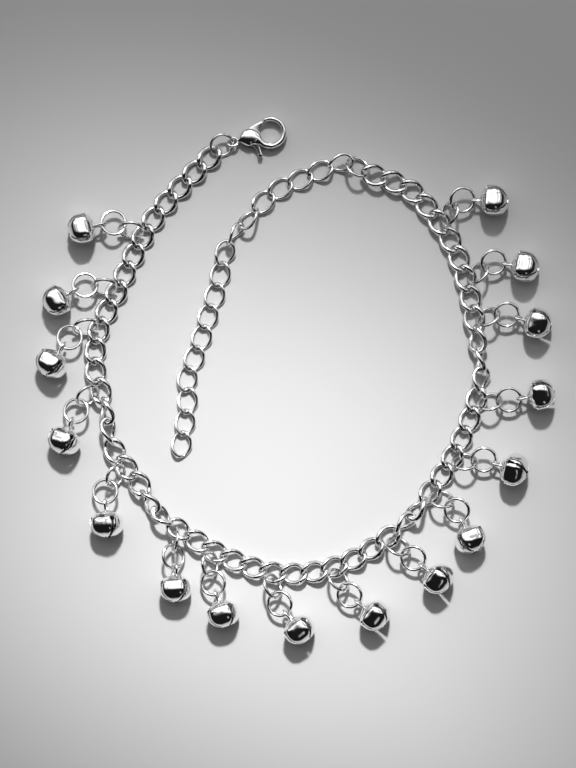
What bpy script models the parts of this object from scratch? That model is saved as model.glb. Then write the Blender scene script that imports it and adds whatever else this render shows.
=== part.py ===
"""A payal anklet laid open on a table: a curb chain with sixteen jingle bells.

The chain runs from a lobster clasp, round the loop, to an extension chain that
ends free inside it. Each bell hangs on two jump rings from its own chain link.
Lengths are in metres, +Z is up and the anklet rests on z = 0. The origin is
under the middle of the whole anklet.
"""

import math

import bmesh
import bpy
from mathutils import Matrix, Vector

MM = 0.001
UP = Vector((0.0, 0.0, 1.0))

ROUTE_UNIT = 1.00 * MM  # what one unit of the route and lift tables measures
LOOP_MIDDLE = (-0.805, 0.368)  # where the routes put the anklet's middle, in their own units

# Main curb chain
MAIN_LINKS = 54
MAIN_WIRE = 0.90 * MM
MAIN_WIDTH = 4.50 * MM
MAIN_TWIST = -33.0  # turn of a link's plane from its middle to the joint's, degrees

# Extension chain
EXTENSION_LINKS = 17
EXTENSION_WIRE = 0.62 * MM
EXTENSION_WIDTH = 4.20 * MM
EXTENSION_TWIST = -28.0

LINK_BITE = 0.10 * MM  # how deep neighbouring links are sunk into each other
LINK_STEPS = 10
WIRE_SIDES = 5

# Jump rings
RING_OUTER = 5.30 * MM
RING_WIRE = 0.62 * MM
RING_SPLIT = 0.12 * MM
RING_STEPS = 10
CLASP_RING_OUTER = 5.00 * MM
HOOK_GAP = 0.35 * MM  # free space left where rings and links hold each other
SIDE_GAP = 0.50 * MM  # the same between an upper ring and its link's long side
TABLE_GAP = 0.18 * MM  # how high a leaning ring stays off the table
LEANING = -47.0  # roll of an upper ring that leans, degrees
STANDING = 80.0  # roll of one that stands on its edge
STANDING_SHIFT = -0.60 * MM  # from the middle of the link it holds, along the chain
STANDING_REACH = 0.05 * MM  # and outward
STANDING_HOLD = -50.0  # how far down it holds the lower ring, degrees from level
CROSSING = 68.0  # angle between the planes of two rings that hold each other
CLASP_RING_HEADING = 22.0
CLASP_RING_ROLL = 28.0
EXTENSION_RING_ROLL = 45.0

# Jingle bells
BELL_WIDTH = 5.90 * MM  # across the flats of the petals
BELL_HEIGHT = 5.50 * MM
BELL_WALL = 0.35 * MM
BELL_SLOT = 0.55 * MM
BELL_HOLE = 1.00 * MM  # round end of each slot
EYE_WIRE = 0.45 * MM
EYE_SIDES = 4
EYE_HOLE = 1.25 * MM
EYE_REACH = 1.15 * MM  # from the cap's tip to the middle of the eye's hole
BELL_TILT = 7.0  # how far the eye leans down, degrees

# Lobster clasp
CLASP_LENGTH = 12.0 * MM
CLASP_THICKNESS = 2.40 * MM
CLASP_EDGE = 0.30 * MM
CLASP_HEADING = 14.7
CLASP_BULGE = 1.85 * MM
CLASP_NECK = 0.90 * MM
CLASP_NECK_REACH = 0.25 * MM
CLASP_BAND = 0.95 * MM
CLASP_OPENING = 4.30 * MM
CLASP_EYE_WIRE = 0.56 * MM
CLASP_EYE_HOLE = 1.44 * MM
CLASP_EYE_TURN = -30.0
HOOK_TIP = 106.0  # where the hook ends, as an angle about the middle of its opening
HOOK_INNER_ROOT = 200.0  # where its inner and outer sides leave the bulge
HOOK_OUTER_ROOT = 258.0
LEVER_THICKNESS = 0.90 * MM
LEVER_GAP = 0.20 * MM
PIN_WIDTH = 0.70 * MM
PIN_INSET = 0.25 * MM
PIN_FROM_OPENING = 1.15 * MM
PIN_SIDE = -0.45  # share of the bulge's radius
HUB_WALL = 0.45 * MM
GATE_TIP = 114.5
GATE_ROOT = 164.0
GATE_TIP_WIDTH = 0.55 * MM
GATE_GAP = 0.10 * MM  # how far the gate stays inside the hook's outline
TRIGGER_WIDTH = 0.95 * MM
TRIGGER_REACH = 3.45 * MM
TRIGGER_SHIFT = 0.22 * MM
POCKET_BACK = 1.50 * MM  # the lever's pocket, from the pin
POCKET_FRONT = 1.75 * MM
POCKET_SIDE = 3.00 * MM

# Where the main chain's middle line runs, from the clasp round to the extension
MAIN_ROUTE = (
    (-17.7, 43.6), (-23.5, 37.8), (-28.6, 31.7), (-32.7, 24.1), (-35.7, 17.5), (-39.1, 10.4),
    (-39.9, 2.6), (-37.8, -5.4), (-36.3, -13.0), (-31.3, -20.0), (-27.7, -25.4), (-20.4, -30.9),
    (-13.5, -34.6), (-5.4, -37.2), (2.6, -37.1), (10.0, -34.8), (16.9, -30.5), (21.4, -26.4),
    (25.4, -21.4), (29.8, -14.5), (33.4, -6.3), (35.2, 0.7), (34.4, 8.7), (33.1, 16.8),
    (30.6, 24.9), (26.7, 31.6), (21.3, 37.4), (14.5, 40.1),
)
# Where the extension's middle line runs, from the connecting ring to its free end
EXTENSION_ROUTE = (
    (7.90, 42.44), (4.3, 41.2), (1.2, 39.8), (-3.0, 38.1), (-6.7, 35.5), (-9.6, 32.0),
    (-12.1, 29.6), (-14.4, 25.8), (-15.4, 21.3), (-16.6, 16.8), (-18.0, 12.5), (-19.3, 8.2),
    (-20.8, 4.0), (-22.1, -0.2), (-21.9, -4.1), (-22.4, -7.9), (-23.1, -12.2),
)
# How far a link is rolled about the chain's line: link number, degrees
MAIN_ROLLS = (
    (14, 0), (17, 180), (19, 180), (21, 300), (22, 335), (23, 360), (33, 360), (36, 540), (41, 540),
    (45, 720),
)
EXTENSION_ROLLS = ((1, -36), (2, 0), (5, 0), (8, 160), (9, 180))
# How far a link is lifted off the table: link number, height
MAIN_LIFTS = ((53, 0.0), (54, 0.6))
EXTENSION_LIFTS = ((1, 0.1), (2, 0.0))
# Each bell's drop: the link it hangs on, how far the upper ring swings from square to the
# chain, the headings from upper to lower ring and from lower ring to bell, counted from +X,
# how far its top petal is rolled from straight up, and how the upper ring lies, in degrees.
DROPS = (
    # link, swing, lower, bell, petals, ring
    (6, 0, 152, 192, -8, LEANING),
    (9, 0, 174, 210, -4, LEANING),
    (11, 4, 218, 236, -20, LEANING),
    (14, 4, 237, 249, -22, LEANING),
    (18, 0, 236, 274, -22, LEANING),
    (22, 28, 268, 273, -8, STANDING),
    (24, 8, 281, 289, -10, LEANING),
    (27, 8, 291, 308, -8, LEANING),
    (30, 0, 304, 322, -10, LEANING),
    (33, 8, 318, 321, -15, LEANING),
    (36, 4, 318, 294, 12, LEANING),
    (38, 8, 8, 342, -24, LEANING),
    (41, 8, 4, 11, -5, LEANING),
    (45, 0, 0, 344, -5, LEANING),
    (47, 8, 30, 351, 8, LEANING),
    (50, 8, 39, 358, 6, LEANING),
)
# A bell's outline from the slots' ends down: share of half its height, share of half its width
PETAL_ROWS = ((0.40, 0.92), (-0.05, 1.00), (-0.62, 0.78))
PETAL_SQUARENESS = 2.6

COLOURS = {
    "chain": (0.84, 0.84, 0.85),
    "ring": (0.80, 0.80, 0.82),
    "bell": (0.88, 0.88, 0.89),
    "clasp": (0.82, 0.82, 0.83),
}


def clear_scene():
    for item in list(bpy.data.objects):
        bpy.data.objects.remove(item, do_unlink=True)


def metal(name):
    found = bpy.data.materials.get(name)
    if found:
        return found
    material = bpy.data.materials.new(name)
    material.use_nodes = True
    shader = material.node_tree.nodes["Principled BSDF"]
    shader.inputs["Base Color"].default_value = (*COLOURS[name], 1.0)
    shader.inputs["Metallic"].default_value = 1.0
    shader.inputs["Roughness"].default_value = 0.12
    return material


def add_object(name, mesh, finish):
    item = bpy.data.objects.new(name, mesh)
    bpy.context.scene.collection.objects.link(item)
    mesh.materials.clear()
    mesh.materials.append(metal(finish))
    mesh.shade_smooth()
    mesh.set_sharp_from_angle(angle=math.radians(50.0))
    return item


def helper_object(name, mesh):
    item = bpy.data.objects.new(name, mesh)
    bpy.context.scene.collection.objects.link(item)
    item.hide_render = True
    item.display_type = "WIRE"
    return item


def boolean(item, other, operation):
    modifier = item.modifiers.new(other.name, "BOOLEAN")
    modifier.operation = operation
    modifier.solver = "EXACT"
    modifier.object = other


def plain_mesh(item):
    """The item's mesh with its modifiers applied."""
    bpy.context.view_layer.update()
    graph = bpy.context.evaluated_depsgraph_get()
    return bpy.data.meshes.new_from_object(item.evaluated_get(graph))


def finish_mesh(name, builder):
    mesh = bpy.data.meshes.new(name)
    builder.to_mesh(mesh)
    builder.free()
    return mesh


# Wires


def add_wire(builder, points, inward, radius, sides, closed):
    """Sweep a round wire along points; inward gives where each station's first corner lies."""
    count = len(points)
    rings = []
    for i, point in enumerate(points):
        before = points[i - 1] if closed or i > 0 else point
        after = points[(i + 1) % count] if closed or i < count - 1 else point
        along = (after - before).normalized()
        first = inward[i] - along * inward[i].dot(along)
        first.normalize()
        second = along.cross(first)
        ring = []
        for side in range(sides):
            angle = math.tau * side / sides
            offset = math.cos(angle) * first + math.sin(angle) * second
            ring.append(builder.verts.new(point + radius * offset))
        rings.append(ring)
    spans = count if closed else count - 1
    for i in range(spans):
        one, two = rings[i], rings[(i + 1) % count]
        for side in range(sides):
            other = (side + 1) % sides
            builder.faces.new((one[side], one[other], two[other], two[side]))
    if not closed:
        builder.faces.new(list(reversed(rings[0])))
        builder.faces.new(rings[-1])


def link_point(turn, long_half, wide_half, twist):
    """A point of a curb link's middle line; twist is in radians for each metre along."""
    along = long_half * math.cos(turn)
    across = wide_half * math.sin(turn)
    angle = twist * along
    return Vector((along, across * math.cos(angle), across * math.sin(angle)))


def link_points(long_half, wide_half, twist):
    """The corners of a link's middle line; its ends are straight and just reach long_half."""
    end_reach = long_half / math.cos(math.pi / LINK_STEPS)
    turns = [math.tau * (step + 0.5) / LINK_STEPS for step in range(LINK_STEPS)]
    return [link_point(turn, end_reach, wide_half, twist) for turn in turns]


def split_ring_mesh(name, outer, wire, split):
    """A jump ring in its own XY plane, its butt gap at +Y."""
    radius = 0.5 * (outer - wire)
    open_angle = split / radius
    builder = bmesh.new()
    points = []
    inward = []
    for step in range(RING_STEPS + 1):
        angle = 0.5 * math.pi + 0.5 * open_angle + (math.tau - open_angle) * step / RING_STEPS
        outward = Vector((math.cos(angle), math.sin(angle), 0.0))
        points.append(radius * outward)
        inward.append(-outward)
    add_wire(builder, points, inward, 0.5 * wire, WIRE_SIDES, False)
    return finish_mesh(name, builder)


# Routes


def smooth_route(corners, steps=24):
    """A Catmull-Rom curve through a route's corners, as points in metres."""
    middle = Vector(LOOP_MIDDLE)
    spots = [ROUTE_UNIT * (Vector(corner) - middle) for corner in corners]
    spots = [2.0 * spots[0] - spots[1]] + spots + [2.0 * spots[-1] - spots[-2]]
    curve = []
    for a, b, c, d in zip(spots, spots[1:], spots[2:], spots[3:]):
        for step in range(steps):
            t = step / steps
            curve.append(
                0.5 * (2.0 * b + t * (c - a) + t * t * (2.0 * a - 5.0 * b + 4.0 * c - d)
                       + t * t * t * (3.0 * b - a - 3.0 * c + d))
            )
    curve.append(spots[-2])
    return curve


def along_route(curve, distances):
    """The points that lie the given distances along the curve."""
    found = []
    walked = 0.0
    index = 0
    for target in distances:
        while index < len(curve) - 2 and walked + (curve[index + 1] - curve[index]).length < target:
            walked += (curve[index + 1] - curve[index]).length
            index += 1
        share = (target - walked) / (curve[index + 1] - curve[index]).length
        found.append(curve[index].lerp(curve[index + 1], share))
    return found


def table_value(rows, number):
    """A value between the rows of a table of number and value, level past its ends."""
    if number <= rows[0][0]:
        return rows[0][1]
    for (low, first), (high, last) in zip(rows, rows[1:]):
        if number <= high:
            return first + (last - first) * (number - low) / (high - low)
    return rows[-1][1]


class Chain:
    """Equal curb links laid along a route, each resting on the table."""

    def __init__(self, corners, rolls, lifts, links, wire, width, twist):
        self.wire = wire
        lifts = [ROUTE_UNIT * table_value(lifts, i + 1) for i in range(links)]
        self.wide_half = 0.5 * (width - wire)
        self.rolls = [math.radians(table_value(rolls, i + 1)) for i in range(links)]
        curve = smooth_route(corners)
        length = sum((b - a).length for a, b in zip(curve, curve[1:]))
        self.pitch = length / (links - 1)
        heights = [0.5 * width] * links
        for _ in range(8):
            rises = [b - a for a, b in zip(heights, heights[1:])]
            steps = [math.sqrt(self.pitch ** 2 - rise ** 2) for rise in rises]
            self.pitch *= length / sum(steps)
            self.long_half = 0.5 * (self.pitch + wire - LINK_BITE)
            self.twist = math.radians(twist) / (0.5 * self.pitch)
            distances = [sum(steps[:i]) * length / sum(steps) for i in range(links)]
            flat = along_route(curve, distances)
            self.centres = [Vector((p.x, p.y, h)) for p, h in zip(flat, heights)]
            heights = [h - self.underside(i) + lifts[i] for i, h in enumerate(heights)]
        self.centres = [Vector((p.x, p.y, h)) for p, h in zip(flat, heights)]

    def points(self, index):
        place = self.place(index)
        return [place @ point for point in link_points(self.long_half, self.wide_half, self.twist)]

    def underside(self, index):
        return min(point.z for point in self.points(index)) - 0.5 * self.wire

    def heading(self, index):
        index %= len(self.centres)
        before = self.centres[max(index - 1, 0)]
        after = self.centres[min(index + 1, len(self.centres) - 1)]
        return (after - before).normalized()

    def place(self, index):
        """The link's place: X along the chain, Y across its plane."""
        along = self.heading(index)
        left = UP.cross(along).normalized()
        across = left * math.cos(self.rolls[index]) + along.cross(left) * math.sin(self.rolls[index])
        return frame(self.centres[index], along, across)

    def mesh(self, name, first):
        builder = bmesh.new()
        for index in range(first, len(self.centres), 2):
            points = self.points(index)
            inward = [self.centres[index] - point for point in points]
            add_wire(builder, points, inward, 0.5 * self.wire, WIRE_SIDES, True)
        return finish_mesh(name, builder)

    def end_hook(self, other_wire):
        """From an end link's centre to the middle of a wire held inside its end."""
        return self.long_half - 0.5 * (self.wire + other_wire) - HOOK_GAP

    def side_hook(self, other_wire):
        """From a link's centre to the middle of a wire held inside its long side."""
        return self.wide_half - 0.5 * (self.wire + other_wire) - SIDE_GAP

    def outward(self, index, swing):
        """The heading, in degrees, that leaves the loop square to the chain, turned by swing."""
        along = self.heading(index)
        return math.degrees(math.atan2(along.y, along.x)) - 90.0 + swing


def frame(origin, x_axis, y_axis):
    x_axis = x_axis.normalized()
    z_axis = x_axis.cross(y_axis).normalized()
    y_axis = z_axis.cross(x_axis)
    matrix = Matrix((x_axis, y_axis, z_axis)).transposed().to_4x4()
    matrix.translation = origin
    return matrix


def heading_vector(degrees, rise=0.0):
    angle = math.radians(degrees)
    level = math.cos(rise)
    return Vector((level * math.cos(angle), level * math.sin(angle), math.sin(rise)))


def ring_frame(centre, outward, roll):
    """A ring's place: X points along outward, and the ring is rolled about it."""
    level = UP.cross(outward).normalized()
    side = level * math.cos(roll) + outward.cross(level) * math.sin(roll)
    return frame(centre, outward, side)


def ring_edge(place, radius, direction):
    """The point of a ring's middle line that lies furthest along direction."""
    normal = place.to_3x3() @ UP
    in_plane = direction - normal * direction.dot(normal)
    return place.translation + radius * in_plane.normalized()


def build_chain(name, chain, finish):
    item = add_object(name, chain.mesh(name, 0), finish)
    helper = helper_object(name + "_even_links", chain.mesh(name + "_even_links", 1))
    boolean(item, helper, "UNION")
    return item


# Jingle bells


def bell_corner(row, turn, offset):
    """A point of the bell's outer skin at a turn about its axis, moved sideways by offset."""
    height, width = row
    power = PETAL_SQUARENESS
    spread = (abs(math.cos(turn)) ** power + abs(math.sin(turn)) ** power) ** (-1.0 / power)
    reach = 0.5 * BELL_WIDTH * width * spread
    out = Vector((math.cos(turn), math.sin(turn), 0.0))
    return reach * out + offset * UP.cross(out) + 0.5 * BELL_HEIGHT * height * UP


def petal_sheet():
    """The cap and four petals as one open sheet, slots left open between the petals."""
    builder = bmesh.new()
    tip = builder.verts.new(0.5 * BELL_HEIGHT * UP)
    bottom_reach = 0.5 * BELL_SLOT * math.sqrt(2.0) + BELL_WALL
    petals = []
    for petal in range(4):
        middle = 0.5 * math.pi * petal
        rows = []
        for number, row in enumerate(PETAL_ROWS):
            half_slot = 0.5 * (BELL_HOLE if number == 0 else BELL_SLOT)
            left = bell_corner(row, middle - 0.25 * math.pi, half_slot)
            right = bell_corner(row, middle + 0.25 * math.pi, -half_slot)
            corners = [left, right] if number == 0 else [left, bell_corner(row, middle, 0.0), right]
            rows.append([builder.verts.new(corner) for corner in corners])
        end = bottom_reach * Vector((math.cos(middle), math.sin(middle), 0.0)) - 0.5 * BELL_HEIGHT * UP
        rows.append([builder.verts.new(end)])
        petals.append(rows)
    for number, rows in enumerate(petals):
        (left, right), middle_row = rows[0], rows[1]
        after = petals[(number + 1) % 4][0][0]
        builder.faces.new((tip, left, right))
        builder.faces.new((tip, right, after))
        builder.faces.new((left, middle_row[0], middle_row[1]))
        builder.faces.new((left, middle_row[1], right))
        builder.faces.new((right, middle_row[1], middle_row[2]))
        for upper, lower in zip(rows[1:], rows[2:-1]):
            for a in range(2):
                builder.faces.new((upper[a], lower[a], lower[a + 1], upper[a + 1]))
        end = rows[-1][0]
        builder.faces.new((rows[-2][0], end, rows[-2][1]))
        builder.faces.new((rows[-2][1], end, rows[-2][2]))
    bmesh.ops.recalc_face_normals(builder, faces=builder.faces)
    return finish_mesh("petal_sheet", builder)


def eye_mesh(turn):
    """The wire eye on the cap: two legs sunk in the cap and a half ring over them."""
    radius = 0.5 * (EYE_HOLE + EYE_WIRE)
    centre = 0.5 * BELL_HEIGHT + EYE_REACH
    slope = (1.0 - PETAL_ROWS[0][0]) * BELL_HEIGHT / (PETAL_ROWS[0][1] * BELL_WIDTH)
    foot = 0.5 * BELL_HEIGHT - slope * radius - 0.6 * BELL_WALL
    side = Vector((math.cos(turn), math.sin(turn), 0.0))
    points = [radius * side + foot * UP]
    for step in range(4):
        angle = math.pi * step / 3.0
        points.append(radius * math.cos(angle) * side + (centre + radius * math.sin(angle)) * UP)
    points.append(-radius * side + foot * UP)
    inward = [centre * UP - point for point in points]
    inward[0] = -side
    inward[-1] = side
    builder = bmesh.new()
    add_wire(builder, points, inward, 0.5 * EYE_WIRE, EYE_SIDES, False)
    return finish_mesh("eye", builder)


def bell_mesh(petal_turn):
    """A bell on its own Z axis, its eye on top in the XZ plane, petals turned by petal_turn."""
    shell = helper_object("bell_shell", petal_sheet())
    solid = shell.modifiers.new("wall", "SOLIDIFY")
    solid.thickness = BELL_WALL
    solid.offset = -1.0
    solid.use_even_offset = True
    eye = helper_object("bell_eye", eye_mesh(-petal_turn))
    boolean(shell, eye, "UNION")
    mesh = plain_mesh(shell)
    for item in (shell, eye):
        bpy.data.objects.remove(item, do_unlink=True)
    mesh.transform(Matrix.Rotation(petal_turn, 4, "Z"))
    return mesh


def lowest(mesh, rotation):
    return min((rotation @ vertex.co).z for vertex in mesh.vertices)


def bell_rotation(held_at, heading, lean, ring):
    """A bell's turn: its axis along heading, leaning by lean, its eye round the ring's wire."""
    wire_along = (ring.to_3x3() @ UP).cross(held_at - ring.translation)
    axis = -heading_vector(heading, lean)
    side = wire_along - axis * axis.dot(wire_along)
    return frame(Vector(), side.cross(axis), side.normalized())


def top_petal_turn(held_at, heading, ring):
    """The turn of the petals about the bell's axis that brings one straight up."""
    rotation = bell_rotation(held_at, heading, math.radians(BELL_TILT), ring)
    up = rotation.to_3x3().transposed() @ UP
    return math.atan2(up.y, up.x)


def place_bell(mesh, held_at, heading, ring):
    """Lay a bell on the table, its eye on the ring at the point held_at, pointing along heading."""
    reach = 0.5 * BELL_HEIGHT + EYE_REACH
    lean = math.radians(BELL_TILT)
    for _ in range(8):
        rotation = bell_rotation(held_at, heading, lean, ring)
        height = -lowest(mesh, rotation)
        lean = math.asin(max(-0.6, min(0.6, (height - held_at.z) / reach)))
    centre = held_at - reach * rotation.col[2].to_3d()
    rotation.translation = Vector((centre.x, centre.y, height))
    return rotation


# Drops


def upper_ring(chain, index, heading, roll, radius):
    """An upper ring holding the outer side of a link, raised just clear of the table."""
    link = chain.centres[index]
    turn = math.radians(roll)
    clear_height = radius * math.sin(abs(turn)) + 0.5 * RING_WIRE + TABLE_GAP
    if roll == STANDING:
        return standing_ring(chain, index, heading, clear_height, radius)
    lift = max(clear_height - link.z, 0.0)
    rise = math.asin(min(lift / radius, 0.9))
    outward = heading_vector(heading, rise)
    near = link + chain.side_hook(RING_WIRE) * heading_vector(heading)
    return ring_frame(near + radius * outward, outward, turn)


def standing_ring(chain, index, heading, height, radius):
    """An upper ring on its edge, low on the table, holding a link that lies higher."""
    outward = heading_vector(heading)
    along = chain.heading(index)
    near = chain.centres[index] + STANDING_SHIFT * along + STANDING_REACH * outward
    centre = Vector((near.x, near.y, height)) + radius * outward
    return ring_frame(centre, outward, math.radians(STANDING))


def lower_ring(upper, heading, hold, eye_height, radius):
    """A lower ring held by the upper one and rising to the bell's eye."""
    far = ring_edge(upper, radius, heading_vector(heading, hold))
    inward = (far - upper.translation).normalized()
    near = far - (RING_WIRE + HOOK_GAP) * inward
    rise = math.asin(max(-0.6, min(0.6, (eye_height - near.z) / (2.0 * radius))))
    outward = heading_vector(heading, rise)
    return ring_frame(near + radius * outward, outward, crossing_roll(upper, outward))


def crossing_roll(other, outward):
    """The roll about outward that sets a ring's plane CROSSING away from the other ring's."""
    level = ring_frame(Vector(), outward, 0.0).to_3x3() @ UP
    normal = other.to_3x3() @ UP
    along = normal.dot(level)
    across = normal.dot(outward.cross(level))
    share = min(math.cos(math.radians(CROSSING)) / math.hypot(along, across), 1.0)
    return math.atan2(across, along) + math.acos(share)


def build_drops(chain):
    radius = 0.5 * (RING_OUTER - RING_WIRE)
    ring_mesh = split_ring_mesh("jump_ring", RING_OUTER, RING_WIRE, RING_SPLIT)
    reach = 0.5 * BELL_HEIGHT + EYE_REACH
    eye_height = 0.5 * BELL_WIDTH - reach * math.sin(math.radians(BELL_TILT))
    for number, (link, swing, second, third, petals, roll) in enumerate(DROPS, 1):
        first = chain.outward(link - 1, swing)
        upper = upper_ring(chain, link - 1, first, roll, radius)
        hold = math.radians(STANDING_HOLD) if roll == STANDING else 0.0
        lower = lower_ring(upper, second, hold, eye_height, radius)
        held_at = ring_edge(lower, radius, heading_vector(third))
        mesh = bell_mesh(top_petal_turn(held_at, third, lower) + math.radians(petals))
        pieces = (
            ("upper_ring", ring_mesh, upper, "ring"),
            ("lower_ring", ring_mesh, lower, "ring"),
            ("bell", mesh, place_bell(mesh, held_at, third, lower), "bell"),
        )
        for kind, shape, place, finish in pieces:
            add_object(f"{kind}_{number:02d}", shape, finish).matrix_world = place


# Clasp


def arc(centre, radius, start, end, steps):
    angles = [math.radians(start + (end - start) * i / steps) for i in range(steps + 1)]
    return [(centre[0] + radius * math.cos(a), centre[1] + radius * math.sin(a)) for a in angles]


def plate_mesh(name, outline, bottom, top, edge):
    """A flat plate with its rims chamfered."""
    builder = bmesh.new()
    corners = [builder.verts.new((x, y, bottom)) for x, y in outline]
    face = builder.faces.new(corners)
    result = bmesh.ops.extrude_face_region(builder, geom=[face])
    lifted = [corner for corner in result["geom"] if isinstance(corner, bmesh.types.BMVert)]
    bmesh.ops.translate(builder, verts=lifted, vec=(0.0, 0.0, top - bottom))
    bmesh.ops.recalc_face_normals(builder, faces=builder.faces)
    if edge > 0.0:
        rims = [rim for rim in builder.edges if abs(rim.verts[0].co.z - rim.verts[1].co.z) < 0.01 * MM]
        bmesh.ops.bevel(builder, geom=rims, offset=edge, segments=1, affect="EDGES")
    return finish_mesh(name, builder)


def cylinder_mesh(name, centre, radius, bottom, top, sides):
    outline = arc(centre, radius, 0.0, 360.0 * (sides - 1) / sides, sides - 1)
    return plate_mesh(name, outline, bottom, top, 0.0)


class Clasp:
    """Sizes of the clasp in its own frame: the eye's centre at the origin, the hook along +X."""

    opening = 0.5 * CLASP_OPENING
    outer = opening + CLASP_BAND
    eye_radius = 0.5 * (CLASP_EYE_HOLE + CLASP_EYE_WIRE)
    hook = (CLASP_LENGTH - eye_radius - 0.5 * CLASP_EYE_WIRE - outer, 0.0)
    bulge = (eye_radius + CLASP_NECK_REACH + CLASP_BULGE, 0.0)
    pivot = (hook[0] - opening - PIN_FROM_OPENING, PIN_SIDE * CLASP_BULGE)
    middle = 0.5 * CLASP_THICKNESS
    lever_bottom = middle - 0.5 * LEVER_THICKNESS
    lever_top = middle + 0.5 * LEVER_THICKNESS


def clasp_body_outline():
    c = Clasp
    neck = 0.5 * CLASP_NECK
    start = math.degrees(math.asin(neck / CLASP_BULGE))
    full_turn = 360.0
    outline = [(c.eye_radius, -neck), (c.eye_radius, neck)]
    outline += arc(c.bulge, CLASP_BULGE, 180.0 - start, 40.0, 4)
    outline += arc(c.hook, c.opening, HOOK_INNER_ROOT, full_turn + HOOK_TIP, 9)
    outline += arc(c.hook, c.outer, full_turn + HOOK_TIP + 2.0, HOOK_OUTER_ROOT, 8)
    outline += arc(c.bulge, CLASP_BULGE, 262.0, 180.0 + start, 2)
    return outline


def lever_outline():
    """The gate along the opening, the hub round the pin and the trigger below it."""
    c = Clasp
    x, y = c.pivot
    hub = 0.5 * PIN_WIDTH + LEVER_GAP + HUB_WALL
    half = 0.5 * TRIGGER_WIDTH
    trigger = (x + TRIGGER_SHIFT, y - TRIGGER_REACH + half)
    inner = c.opening + 0.2 * GATE_GAP
    outline = arc(c.hook, inner, GATE_TIP, GATE_ROOT, 4)
    outline += arc((x, y), hub, 10.0, -40.0, 2)
    outline += arc(trigger, half, 0.0, -180.0, 4)
    outline += arc((x, y), hub, 215.0, 140.0, 3)
    outline += arc(c.hook, c.outer - GATE_GAP, 142.0, 130.0, 1)
    outline += arc(c.hook, inner + GATE_TIP_WIDTH, GATE_TIP, GATE_TIP, 1)[:1]
    return outline


def clasp_place(held):
    """The clasp's place on the table, its eye round the point of the ring at held."""
    heading = heading_vector(CLASP_HEADING)
    return frame(Vector((held.x, held.y, 0.0)), heading, UP.cross(heading))


def build_clasp(chain):
    c = Clasp
    radius = 0.5 * (CLASP_RING_OUTER - RING_WIRE)
    away = -chain.heading(0)
    away.z = 0.0
    start = chain.centres[0] + chain.end_hook(RING_WIRE) * away
    ring_centre = start + radius * away
    ring_centre.z = radius * math.sin(math.radians(CLASP_RING_ROLL)) + 0.5 * RING_WIRE
    ring_heading = heading_vector(CLASP_RING_HEADING)
    ring_place = ring_frame(ring_centre, ring_heading, math.radians(CLASP_RING_ROLL))
    ring = split_ring_mesh("clasp_ring", CLASP_RING_OUTER, RING_WIRE, RING_SPLIT)
    add_object("clasp_ring", ring, "ring").matrix_world = ring_place

    place = clasp_place(ring_edge(ring_place, radius, heading_vector(CLASP_HEADING)))
    plate = plate_mesh("clasp_body", clasp_body_outline(), 0.0, CLASP_THICKNESS, CLASP_EDGE)
    body = add_object("clasp_body", plate, "clasp")
    x, y = c.pivot
    back, front = x - POCKET_BACK, x + POCKET_FRONT
    slot_outline = [(back, -POCKET_SIDE), (front, -POCKET_SIDE), (front, POCKET_SIDE), (back, POCKET_SIDE)]
    slot = helper_object("lever_slot", plate_mesh(
        "lever_slot", slot_outline, c.lever_bottom - LEVER_GAP, c.lever_top + LEVER_GAP, 0.0))
    pin = helper_object("pivot_pin", cylinder_mesh(
        "pivot_pin", c.pivot, 0.5 * PIN_WIDTH, PIN_INSET, CLASP_THICKNESS - PIN_INSET, 8))
    eye_builder = bmesh.new()
    points = []
    inward = []
    turn = Matrix.Rotation(math.radians(CLASP_EYE_TURN), 3, "X")
    for step in range(LINK_STEPS):
        angle = math.tau * step / LINK_STEPS
        outward = turn @ Vector((math.cos(angle), math.sin(angle), 0.0))
        points.append(c.eye_radius * outward + c.middle * UP)
        inward.append(-outward)
    add_wire(eye_builder, points, inward, 0.5 * CLASP_EYE_WIRE, 6, True)
    eye = helper_object("clasp_eye", finish_mesh("clasp_eye", eye_builder))
    boolean(body, slot, "DIFFERENCE")
    boolean(body, pin, "UNION")
    boolean(body, eye, "UNION")

    lever_mesh = plate_mesh("clasp_lever", lever_outline(), c.lever_bottom, c.lever_top, 0.0)
    lever = add_object("clasp_lever", lever_mesh, "clasp")
    bore = helper_object("lever_bore", cylinder_mesh(
        "lever_bore", c.pivot, 0.5 * PIN_WIDTH + LEVER_GAP, 0.0, CLASP_THICKNESS, 10))
    boolean(lever, bore, "DIFFERENCE")
    for item in (body, slot, pin, eye):
        item.matrix_world = place
    on_axis = Matrix.Translation((-x, -y, 0.0))
    lever_mesh.transform(on_axis)
    bore.data.transform(on_axis)
    for item in (lever, bore):
        item.matrix_world = place @ on_axis.inverted()


def build_extension_ring(main, extension):
    radius = 0.5 * (RING_OUTER - RING_WIRE)
    last = main.centres[-1] + main.end_hook(RING_WIRE) * main.heading(-1)
    first = extension.centres[0] - extension.end_hook(RING_WIRE) * extension.heading(0)
    outward = (first - last).normalized()
    place = ring_frame(0.5 * (last + first), outward, math.radians(EXTENSION_RING_ROLL))
    mesh = split_ring_mesh("extension_ring", RING_OUTER, RING_WIRE, RING_SPLIT)
    add_object("extension_ring", mesh, "ring").matrix_world = place


def main():
    clear_scene()
    main_chain = Chain(
        MAIN_ROUTE, MAIN_ROLLS, MAIN_LIFTS, MAIN_LINKS, MAIN_WIRE, MAIN_WIDTH, MAIN_TWIST
    )
    extension = Chain(
        EXTENSION_ROUTE, EXTENSION_ROLLS, EXTENSION_LIFTS, EXTENSION_LINKS, EXTENSION_WIRE,
        EXTENSION_WIDTH, EXTENSION_TWIST
    )
    build_chain("main_chain", main_chain, "chain")
    build_chain("extension_chain", extension, "chain")
    build_extension_ring(main_chain, extension)
    build_clasp(main_chain)
    build_drops(main_chain)
    bpy.context.view_layer.update()


main()
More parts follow.
